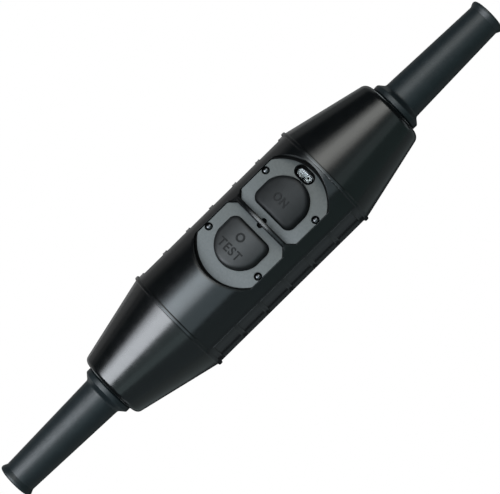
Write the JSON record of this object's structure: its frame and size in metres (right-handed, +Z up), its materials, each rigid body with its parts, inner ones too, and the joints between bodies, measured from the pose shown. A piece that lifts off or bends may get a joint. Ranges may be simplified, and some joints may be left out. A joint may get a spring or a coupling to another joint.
{
  "type": "in-line residual-current switch",
  "caption": "In-line residual-current switch for a flexible cable: round tapered body with ON and TEST buttons, a lamp window and a bend-protection sleeve at each end.",
  "frame": {"origin": "middle of the overall box, in the plane of the flat underside", "axes": "+X along the cable towards the ON button and the cable's outlet, +Z up out of the cover plates"},
  "size_m": [0.3314, 0.0604, 0.0577],
  "materials": {
    "shell_black": "satin",
    "plate_grey": "fine texture",
    "button_rubber": "soft matte",
    "sleeve_rubber": "matte",
    "seal_rubber": "matte",
    "dome_steel": "polished",
    "screw_steel": "zinc plated",
    "clear_lens": "clear",
    "lamp_body": "clear",
    "spring_steel": "drawn",
    "board_green": "lacquered",
    "component_black": "moulded",
    "component_blue": "dipped",
    "core_steel": "plain",
    "copper_wire": "enamelled",
    "contact_brass": "plain",
    "contact_silver": "plated",
    "earth_sheath": "insulation",
    "inner_plastic": "moulded",
    "clamp_plastic": "moulded"
  },
  "bodies": {
    "housing": {"upper_shell": "shell_black", "lower_shell": "shell_black", "shell_seals": "seal_rubber", "housing_screws": "screw_steel", "test_plate": "plate_grey", "on_plate": "plate_grey", "test_gasket": "seal_rubber", "on_gasket": "seal_rubber", "plate_screws": "dome_steel", "indicator_lens": "clear_lens", "status_led": "lamp_body", "test_spring": "spring_steel", "on_spring": "spring_steel", "carrier_spring": "spring_steel", "circuit_board": "board_green", "board_screws": "screw_steel", "test_switch": "component_black", "on_switch": "component_black", "control_chip": "component_black", "supply_capacitor": "component_black", "surge_varistor": "component_blue", "test_resistor": "component_blue", "transformer_core": "core_steel", "transformer_winding": "copper_wire", "line_bar_in": "contact_brass", "neutral_bar_in": "contact_brass", "line_bar_out": "contact_brass", "neutral_bar_out": "contact_brass", "earth_wire": "earth_sheath", "fixed_contacts": "contact_silver", "contact_block": "inner_plastic", "block_screws": "screw_steel", "relay_yoke": "core_steel", "coil_bobbin": "inner_plastic", "coil_winding": "copper_wire", "terminal_block_in": "inner_plastic", "terminal_block_out": "inner_plastic", "terminal_clamps": "contact_brass", "terminal_screws": "screw_steel", "cable_clamp_in": "clamp_plastic", "cable_clamp_out": "clamp_plastic", "clamp_screws": "screw_steel", "cable_sleeve_in": "sleeve_rubber", "cable_sleeve_out": "sleeve_rubber"},
    "test_push": {"test_button": "button_rubber", "test_plunger": "inner_plastic"},
    "on_push": {"on_button": "button_rubber", "on_plunger": "inner_plastic"},
    "contact_slide": {"contact_carrier": "inner_plastic", "moving_contacts": "contact_brass", "relay_plunger": "core_steel"}
  },
  "joints": [
    {"name": "test_press", "type": "slide", "parent": "housing", "child": "test_push", "axis": [0, 0, -1], "range_m": [0, 0.002], "stiffness_N_per_m": 500, "springref_m": -0.001, "deforming": ["test_spring"]},
    {"name": "on_press", "type": "slide", "parent": "housing", "child": "on_push", "axis": [0, 0, -1], "range_m": [0, 0.002], "stiffness_N_per_m": 500, "springref_m": -0.001, "deforming": ["on_spring"]},
    {"name": "contact_close", "type": "slide", "parent": "housing", "child": "contact_slide", "axis": [0, 0, -1], "range_m": [0, 0.003], "stiffness_N_per_m": 600, "springref_m": -0.001, "deforming": ["carrier_spring"]}
  ]
}
